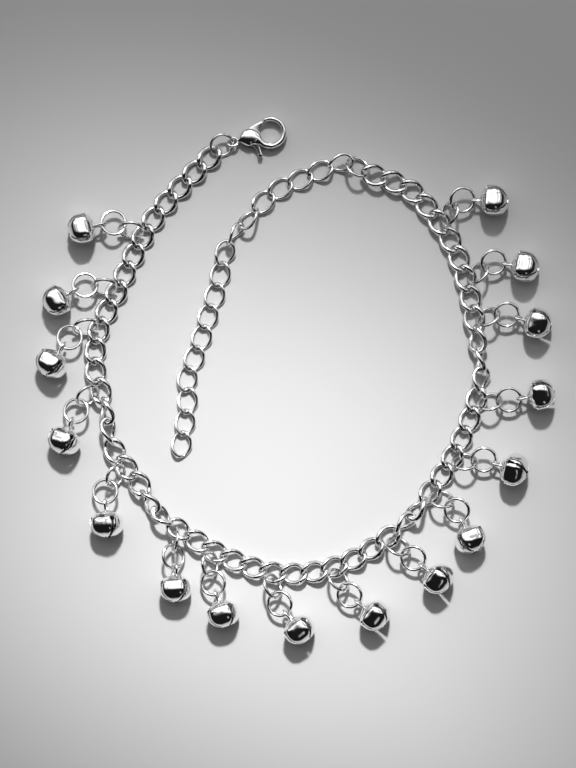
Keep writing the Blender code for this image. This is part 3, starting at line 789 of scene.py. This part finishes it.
def bell_shell():
    """The sheet with its wall and softened rims."""
    item = helper("bell_shell", petal_sheet())
    wall = item.modifiers.new("wall", "SOLIDIFY")
    wall.thickness = BELL_WALL
    wall.offset = -1.0
    wall.use_even_offset = True
    rims = item.modifiers.new("rims", "BEVEL")
    rims.width = BELL_RIM
    rims.segments = 2
    rims.limit_method = "ANGLE"
    rims.angle_limit = math.radians(55.0)
    mesh = plain_mesh(item)
    item.modifiers.clear()
    item.data = mesh
    mesh.shade_smooth()
    return item


def wire_mesh(name, points, first, radius, sides, closed):
    """A round wire along points; first is the side of each station's first corner."""
    builder = bmesh.new()
    count = len(points)
    rings = []
    for i, point in enumerate(points):
        before = points[i - 1] if closed or i > 0 else point
        after = points[(i + 1) % count] if closed or i < count - 1 else point
        along = (after - before).normalized()
        one = (first[i] - along * first[i].dot(along)).normalized()
        two = along.cross(one)
        rings.append([
            builder.verts.new(point + radius * (math.cos(a) * one + math.sin(a) * two))
            for a in (math.tau * side / sides for side in range(sides))
        ])
    for i in range(count if closed else count - 1):
        one, two = rings[i], rings[(i + 1) % count]
        for side in range(sides):
            other = (side + 1) % sides
            builder.faces.new((one[side], one[other], two[other], two[side]))
    if not closed:
        builder.faces.new(list(reversed(rings[0])))
        builder.faces.new(rings[-1])
    mesh = bpy.data.meshes.new(name)
    builder.to_mesh(mesh)
    builder.free()
    mesh.shade_smooth()
    return mesh


def bell_eye():
    """A wire eye in the XZ plane, its legs sunk in the cap."""
    radius = 0.5 * (EYE_HOLE + EYE_WIRE)
    centre = 0.5 * BELL_HEIGHT + EYE_REACH
    foot = 0.5 * BELL_HEIGHT - EYE_FOOT
    shoulder = EYE_SHOULDER * radius
    knee, knee_drop = (share * radius for share in EYE_KNEE)
    leg = [(shoulder, foot), (shoulder, foot + EYE_LEG), (knee, centre - knee_drop)]
    points = [Vector((x, 0.0, z)) for x, z in leg]
    for step in range(EYE_STEPS + 1):
        angle = -EYE_PAST_HALF * math.pi + (1.0 + 2.0 * EYE_PAST_HALF) * math.pi * step / EYE_STEPS
        points.append(Vector((radius * math.cos(angle), 0.0, centre + radius * math.sin(angle))))
    points += [Vector((-x, 0.0, z)) for x, z in reversed(leg)]
    first = [Vector((0.0, 1.0, 0.0))] * len(points)
    return helper("bell_eye", wire_mesh("bell_eye", points, first, 0.5 * EYE_WIRE, EYE_SIDES, False))


def pellet():
    builder = bmesh.new()
    bmesh.ops.create_uvsphere(builder, u_segments=20, v_segments=12, radius=0.5 * PELLET_WIDTH)
    mesh = bpy.data.meshes.new("pellet")
    builder.to_mesh(mesh)
    builder.free()
    mesh.shade_smooth()
    return helper("pellet", mesh)


def mesh_corners(item):
    corners = np.empty(3 * len(item.data.vertices))
    item.data.vertices.foreach_get("co", corners)
    return corners.reshape(-1, 3)


# Clasp


def on_circle(centre, radius, degrees):
    angle = math.radians(degrees)
    return centre[0] + radius * math.cos(angle), centre[1] + radius * math.sin(angle)


def arc(centre, radius, start, end, steps):
    return [on_circle(centre, radius, start + (end - start) * i / steps) for i in range(steps + 1)]


def plate_mesh(name, outline, bottom, top, edge, segments=3):
    """A flat plate with rounded rims."""
    builder = bmesh.new()
    corners = [builder.verts.new((x, y, bottom)) for x, y in outline]
    face = builder.faces.new(corners)
    result = bmesh.ops.extrude_face_region(builder, geom=[face])
    lifted = [corner for corner in result["geom"] if isinstance(corner, bmesh.types.BMVert)]
    bmesh.ops.translate(builder, verts=lifted, vec=(0.0, 0.0, top - bottom))
    bmesh.ops.recalc_face_normals(builder, faces=builder.faces)
    if edge > 0.0:
        rims = [rim for rim in builder.edges if abs(rim.verts[0].co.z - rim.verts[1].co.z) < 0.01 * MM]
        bmesh.ops.bevel(builder, geom=rims, offset=edge, segments=segments, affect="EDGES", profile=0.6)
    mesh = bpy.data.meshes.new(name)
    builder.to_mesh(mesh)
    builder.free()
    return mesh


class Clasp:
    """Sizes of the clasp in its own frame: the eye's centre at the origin, the hook along +X."""

    opening = 0.5 * CLASP_OPENING
    outer = opening + CLASP_BAND
    eye_radius = 0.5 * (CLASP_EYE_HOLE + CLASP_EYE_WIRE)
    hook = (CLASP_LENGTH - eye_radius - 0.5 * CLASP_EYE_WIRE - outer, 0.0)
    pivot = (hook[0] - opening - PIN_FROM_OPENING, PIN_SIDE * CLASP_BULGE)
    middle = 0.5 * CLASP_THICKNESS
    lever_bottom = middle - 0.5 * LEVER_THICKNESS
    lever_top = middle + 0.5 * LEVER_THICKNESS


def body_stations(steps=6):
    """Middle points, half widths and half thicknesses down the clasp's body, evenly smoothed."""
    c = Clasp
    rows = [(Vector((x * MM, y * MM)), w * MM, t * MM) for x, y, w, t in CLASP_NECK]
    for angle, distance, w, t in CLASP_HOOK:
        rows.append((Vector(on_circle(c.hook, distance * MM, angle)), w * MM, t * MM))
    stations = []
    ends = [rows[0]] + rows + [rows[-1]]
    for four in zip(ends, ends[1:], ends[2:], ends[3:]):
        for step in range(steps):
            stations.append(tuple(blend(*column, step / steps) for column in zip(*four)))
    stations.append(rows[-1])
    return stations


def body_mesh():
    """The clasp's body: a rounded section swept from the neck, through the bulge, round the hook."""
    c = Clasp
    power = CLASP_SQUARENESS
    builder = bmesh.new()
    stations = body_stations()
    rings = []
    for i, (spot, wide, thick) in enumerate(stations):
        before, after = stations[max(i - 1, 0)][0], stations[min(i + 1, len(stations) - 1)][0]
        along = (after - before).normalized()
        across = Vector((-along.y, along.x))
        ring = []
        for side in range(CLASP_SIDES):
            a = math.tau * side / CLASP_SIDES
            lean, rise = math.cos(a), math.sin(a)
            push = (abs(lean) ** power + abs(rise) ** power) ** (-1.0 / power)
            flat = spot + across * wide * lean * push
            ring.append(builder.verts.new((flat.x, flat.y, c.middle + min(thick, c.middle) * rise * push)))
        rings.append(ring)
    for one, two in zip(rings, rings[1:]):
        for side in range(CLASP_SIDES):
            other = (side + 1) % CLASP_SIDES
            builder.faces.new((one[side], one[other], two[other], two[side]))
    builder.faces.new(list(reversed(rings[0])))
    builder.faces.new(rings[-1])
    bmesh.ops.recalc_face_normals(builder, faces=builder.faces)
    mesh = bpy.data.meshes.new("clasp_body")
    builder.to_mesh(mesh)
    builder.free()
    return mesh


def lever_outline():
    """The gate along the opening, the hub round the pin and the trigger below it."""
    c = Clasp
    x, y = c.pivot
    hub = 0.5 * PIN_WIDTH + LEVER_GAP + HUB_WALL
    half = 0.5 * TRIGGER_WIDTH
    head = (x + TRIGGER_SHIFT, y - TRIGGER_REACH + half)
    inner = c.opening + GATE_INSET
    waist_height = head[1] + TRIGGER_NECK * half
    outline = arc(c.hook, inner, GATE_TIP, GATE_ROOT, 14)
    outline += arc((x, y), HUB_LOW, 0.0, -62.0, 6)
    outline.append((head[0] + TRIGGER_WAIST, waist_height))
    outline += arc(head, half, 35.0, -215.0, 16)
    outline.append((head[0] - TRIGGER_WAIST, waist_height))
    outline += arc((x, y), HUB_LOW, 245.0, 185.0, 6)
    outline += [(x - hub, y + 0.5 * hub), GATE_HEEL, GATE_SHOULDER]
    outline.append(on_circle(c.hook, inner + GATE_TIP_WIDTH, GATE_TIP))
    return outline


def cylinder(name, centre, radius, bottom, top, edge=0.0):
    outline = arc(centre, radius, 0.0, 360.0 * (PIN_SIDES - 1) / PIN_SIDES, PIN_SIDES - 1)
    return helper(name, plate_mesh(name, outline, bottom, top, edge))


def boolean(item, other, operation):
    modifier = item.modifiers.new(other.name, "BOOLEAN")
    modifier.operation = operation
    modifier.solver = "EXACT"
    modifier.object = other


def settle(item, place, finish, used=()):
    """Apply an item's modifiers, move its mesh to its place and shade it."""
    mesh = plain_mesh(item)
    item.modifiers.clear()
    item.data = mesh
    mesh.transform(place)
    mesh.materials.clear()
    mesh.materials.append(finish)
    mesh.shade_smooth()
    mesh.set_sharp_from_angle(angle=math.radians(38.0))
    for other in used:
        bpy.data.objects.remove(other, do_unlink=True)


def clasp_body():
    """The body with the lever's slot cut through it, and its pin and eye joined on."""
    c = Clasp
    x = c.pivot[0]
    body = helper("clasp_body_silver", body_mesh())
    back, front = x - POCKET_BACK, x + POCKET_FRONT
    outline = [(back, -POCKET_SIDE), (front, -POCKET_SIDE), (front, POCKET_SIDE), (back, POCKET_SIDE)]
    low, high = c.lever_bottom - LEVER_GAP, c.lever_top + LEVER_GAP
    slot = helper("lever_slot", plate_mesh("lever_slot", outline, low, high, 0.0))
    pin_top = CLASP_THICKNESS - PIN_TOP_INSET
    pin = cylinder("pivot_pin", c.pivot, 0.5 * PIN_WIDTH, PIN_BOTTOM, pin_top, PIN_EDGE)
    turn = Matrix.Rotation(math.radians(CLASP_EYE_TURN), 3, "X")
    angles = np.linspace(0.0, math.tau, CLASP_EYE_STEPS + 1)[:-1]
    outward = [turn @ Vector((math.cos(a), math.sin(a), 0.0)) for a in angles]
    points = [c.eye_radius * side + c.middle * UP for side in outward]
    eye = helper("clasp_eye", wire_mesh("clasp_eye", points, outward, 0.5 * CLASP_EYE_WIRE, WIRE_SIDES, True))
    boolean(body, slot, "DIFFERENCE")
    boolean(body, pin, "UNION")
    boolean(body, eye, "UNION")
    return body, (slot, pin, eye)


def clasp_lever():
    """The lever with the hole that it turns on."""
    c = Clasp
    name = "clasp_lever_silver"
    lever = helper(name, plate_mesh(name, lever_outline(), c.lever_bottom, c.lever_top, LEVER_EDGE))
    bore = cylinder("lever_bore", c.pivot, 0.5 * PIN_WIDTH + LEVER_GAP, 0.0, CLASP_THICKNESS)
    boolean(lever, bore, "DIFFERENCE")
    return lever, (bore,)


def build_clasp(place):
    body, body_tools = clasp_body()
    settle(body, place, CLASP_SILVER, body_tools)
    lever, lever_tools = clasp_lever()
    settle(lever, place, CLASP_SILVER, lever_tools)
    finish_piece(body, "clasp_silver", "anklet", "clasp_body")
    finish_piece(lever, "clasp_silver", "lever", "clasp_lever")


# The anklet


def build_chain(name, chain, replaced):
    piece = grow(
        name, LINKS, chain.places(), Long_Half=chain.long_half + 0.5 * SOLID_BITE,
        Wide_Half=chain.wide_half, Twist=chain.twist, Wire=chain.wire, Steps=LINK_STEPS,
        Sides=WIRE_SIDES, Finish=CHAIN_SILVER,
    )
    finish_piece(piece, "chain_silver", "anklet", replaced)


def grow_rings(name, places, radius, *replaced):
    piece = grow(
        name, RINGS, places, Radius=radius, Cut_Angle=RING_SPLIT / radius, Wire=RING_WIRE,
        Steps=RING_STEPS, Sides=WIRE_SIDES, Finish=RING_SILVER,
    )
    finish_piece(piece, "ring_silver", "anklet", *replaced)


def hang_drop(chain, corners, row):
    """Places of a drop's two rings, its bell, the bell's turned shell and its pellet."""
    link, swing, second, third, petals, roll = row
    upper = upper_ring(chain, link - 1, chain.outward(link - 1, swing), roll, RING_RADIUS)
    hold = math.radians(STANDING_HOLD) if roll == STANDING else 0.0
    reach = 0.5 * BELL_HEIGHT + EYE_REACH
    eye_height = 0.5 * BELL_WIDTH - reach * math.sin(math.radians(BELL_TILT))
    lower = lower_ring(upper, second, hold, eye_height, RING_RADIUS)
    held_at = ring_edge(lower, RING_RADIUS, heading_vector(third))
    angle = top_petal_turn(held_at, third, lower) + math.radians(petals)
    petal_turn = Matrix.Rotation(angle, 4, "Z")
    bell = place_bell(corners @ np.array(petal_turn.to_3x3()).T, held_at, third, lower)
    rest = bell.translation.copy()
    rest.z -= 0.5 * (BELL_WIDTH - PELLET_WIDTH) - BELL_WALL - PELLET_GAP
    return upper, lower, bell, bell @ petal_turn, Matrix.Translation(rest)


def build_drops(chain):
    shell, eye, ball = bell_shell(), bell_eye(), pellet()
    corners = mesh_corners(shell)
    uppers, lowers, bells, shells, balls = zip(*(hang_drop(chain, corners, row) for row in DROPS))
    numbers = [f"{k:02d}" for k in range(1, len(DROPS) + 1)]
    grow_rings("upper_jump_rings", uppers, RING_RADIUS, *[f"upper_ring_{k}" for k in numbers])
    grow_rings("lower_jump_rings", lowers, RING_RADIUS, *[f"lower_ring_{k}" for k in numbers])
    bell_piece = grow("bell_shells", COPIES, shells, Shape=shell, Finish=BELL_SILVER)
    finish_piece(bell_piece, "bell_silver", "anklet", *[f"bell_{k}" for k in numbers])
    eye_piece = grow("bell_eyes", COPIES, bells, Shape=eye, Finish=BELL_SILVER)
    ball_piece = grow("bell_pellets", COPIES, balls, Shape=ball, Finish=PELLET_STEEL)
    for piece in (eye_piece, ball_piece):
        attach(piece, "anklet")
    for item in (shell, eye, ball):
        bpy.data.objects.remove(item, do_unlink=True)


def build_joining_ring(chain, extension):
    last = chain.centres[-1] + chain.end_hook(RING_WIRE) * chain.heading(-1)
    first = extension.centres[0] - extension.end_hook(RING_WIRE) * extension.heading(0)
    outward = (first - last).normalized()
    place = ring_place(0.5 * (last + first), outward, math.radians(EXTENSION_RING_ROLL))
    grow_rings("extension_jump_ring", [place], RING_RADIUS, "extension_ring")


def build_clasp_end(chain):
    """The clasp's ring on the first link, and the clasp on the ring."""
    roll = math.radians(CLASP_RING_ROLL)
    away = -chain.heading(0)
    away.z = 0.0
    centre = chain.centres[0] + (chain.end_hook(RING_WIRE) + CLASP_RING_RADIUS) * away
    centre.z = CLASP_RING_RADIUS * math.sin(roll) + 0.5 * RING_WIRE
    ring = ring_place(centre, heading_vector(CLASP_RING_HEADING), roll)
    grow_rings("clasp_jump_ring", [ring], CLASP_RING_RADIUS, "clasp_ring")
    along = heading_vector(CLASP_HEADING)
    held = ring_edge(ring, CLASP_RING_RADIUS, along)
    build_clasp(axes(Vector((held.x, held.y, 0.0)), along, UP.cross(along)))


def finish_solids():
    """Give the CAD solids, which these pieces stand in for, the same finishes."""
    finishes = {"bell": BELL_SILVER, "ring": RING_SILVER, "chain": CHAIN_SILVER, "clasp": CLASP_SILVER}
    for name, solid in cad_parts.items():
        kind = next(word for word in finishes if word in name)
        solid.data.materials.clear()
        solid.data.materials.append(finishes[kind])


LINKS = link_tree()
RINGS = ring_tree()
COPIES = copy_tree()
main_chain = Chain(MAIN_ROUTE, MAIN_ROLLS, MAIN_LIFTS, MAIN_LINKS, MAIN_WIRE, MAIN_WIDTH, MAIN_TWIST)
extension_chain = Chain(
    EXTENSION_ROUTE, EXTENSION_ROLLS, EXTENSION_LIFTS, EXTENSION_LINKS, EXTENSION_WIRE,
    EXTENSION_WIDTH, EXTENSION_TWIST,
)
build_chain("main_chain_links", main_chain, "main_chain")
build_chain("extension_links", extension_chain, "extension_chain")
build_drops(main_chain)
build_joining_ring(main_chain, extension_chain)
build_clasp_end(main_chain)
finish_solids()


# Table, light and camera


def build_table():
    mesh = bpy.data.meshes.new("table")
    half = 0.5 * TABLE_SIZE
    mesh.from_pydata([(-half, -half, 0.0), (half, -half, 0.0), (half, half, 0.0), (-half, half, 0.0)],
                     [], [(0, 1, 2, 3)])
    table = helper("table", mesh)
    material, tree, shader = new_material("pale_table")
    shader.inputs["Base Color"].default_value = (TABLE_GREY, TABLE_GREY, TABLE_GREY, 1.0)
    shader.inputs["Roughness"].default_value = TABLE_ROUGHNESS
    shader.inputs["Specular IOR Level"].default_value = TABLE_SHEEN
    place = tree.nodes.new("ShaderNodeTexCoord")
    fibre = node(tree, "ShaderNodeTexNoise", Scale=TABLE_FIBRE, Detail=3.0)
    bump = node(tree, "ShaderNodeBump", Strength=0.04, Distance=TABLE_FIBRE_DEPTH)
    tree.links.new(place.outputs["Object"], fibre.inputs["Vector"])
    tree.links.new(fibre.outputs["Fac"], bump.inputs["Height"])
    tree.links.new(bump.outputs["Normal"], shader.inputs["Normal"])
    mesh.materials.append(material)


def build_key():
    """Two spots at one place behind the top of the picture, a bright narrow one and a faint wide one."""
    for name, power, spread, stretch in (
        ("key", KEY_POWER, KEY_SPREAD, KEY_STRETCH), ("key_spill", WIDE_POWER, WIDE_SPREAD, 1.0),
    ):
        data = bpy.data.lights.new(name, "SPOT")
        data.energy = power
        data.spot_size = math.radians(spread)
        data.spot_blend = 1.0
        data.shadow_soft_size = KEY_RADIUS
        lamp = bpy.data.objects.new(name, data)
        bpy.context.scene.collection.objects.link(lamp)
        lamp.location = KEY_PLACE
        lamp.rotation_euler = (Vector(KEY_TARGET) - lamp.location).to_track_quat("-Z", "Y").to_euler()
        lamp.rotation_euler.rotate_axis("Z", math.radians(KEY_TURN))
        lamp.scale.x = stretch


def build_room():
    """The room's soft light: a cloudy panel, a dim wall at the back and a slit of light in front.

    The panel fades in from straight overhead and reaches far towards the back, so what
    faces the front mirrors the dark room, as in the photograph.
    """
    world = bpy.data.worlds.new("studio")
    bpy.context.scene.world = world
    world.use_nodes = True
    tree = world.node_tree
    background = tree.nodes["Background"]
    background.inputs["Color"].default_value = (1.0, 1.0, 1.0, 1.0)
    place = tree.nodes.new("ShaderNodeTexCoord")
    parts = tree.nodes.new("ShaderNodeSeparateXYZ")
    tree.links.new(place.outputs["Generated"], parts.inputs["Vector"])

    def calculate(operation, first, second=0.0):
        made = tree.nodes.new("ShaderNodeMath")
        made.operation = operation
        for socket, value in zip(made.inputs, (first, second)):
            if isinstance(value, bpy.types.NodeSocket):
                tree.links.new(value, socket)
            else:
                socket.default_value = value
        return made.outputs[0]

    def ramp(value, low, high, bottom=0.0, top=1.0):
        made = node(tree, "ShaderNodeMapRange", From_Min=low, From_Max=high, To_Min=bottom, To_Max=top)
        made.interpolation_type = "SMOOTHSTEP"
        tree.links.new(value, made.inputs["Value"])
        return made.outputs[0]

    rise = calculate("MAXIMUM", parts.outputs["Z"], HORIZON)
    side = calculate("DIVIDE", parts.outputs["X"], rise)
    back = calculate("DIVIDE", parts.outputs["Y"], rise)

    panel = ramp(calculate("ABSOLUTE", side), PANEL_SIDE + PANEL_BLUR, PANEL_SIDE)
    panel = calculate("MULTIPLY", panel, ramp(back, PANEL_FRONT - PANEL_FRONT_BLUR, PANEL_FRONT))
    panel = calculate("MULTIPLY", panel, ramp(back, PANEL_BACK + PANEL_BLUR, PANEL_BACK))
    clouds = node(tree, "ShaderNodeTexNoise", Scale=CLOUD_SCALE, Detail=1.5)
    tree.links.new(place.outputs["Generated"], clouds.inputs["Vector"])
    panel = calculate("MULTIPLY", panel, ramp(clouds.outputs["Fac"], *CLOUD_EDGE, PANEL_SHADE, 1.0))
    panel = calculate("MULTIPLY", panel, PANEL_LIGHT)

    wall = ramp(parts.outputs["Y"], *WALL_EDGE, ROOM_LIGHT, WALL_LIGHT)

    slant = calculate("ABSOLUTE", calculate("ADD", side, calculate("MULTIPLY", back, SLIT_SLANT)))
    slit = calculate("MULTIPLY", ramp(slant, SLIT_SIDE + SLIT_BLUR, SLIT_SIDE), ramp(back, *SLIT_NEAR))
    slit = calculate("MULTIPLY", slit, ramp(back, *SLIT_FAR, 0.0, SLIT_LIGHT))

    level = calculate("ADD", calculate("ADD", panel, wall), slit)
    tree.links.new(level, background.inputs["Strength"])


def build_camera():
    data = bpy.data.cameras.new("camera")
    data.sensor_width = SENSOR
    data.lens = SENSOR * CAMERA_HEIGHT / PHOTO_HEIGHT
    data.clip_start = 0.01
    data.clip_end = 20.0
    camera = bpy.data.objects.new("camera", data)
    bpy.context.scene.collection.objects.link(camera)
    camera.location = (*PHOTO_MIDDLE, CAMERA_HEIGHT)
    bpy.context.scene.camera = camera


build_table()
build_key()
build_room()
build_camera()
bpy.context.scene.view_settings.view_transform = "Standard"
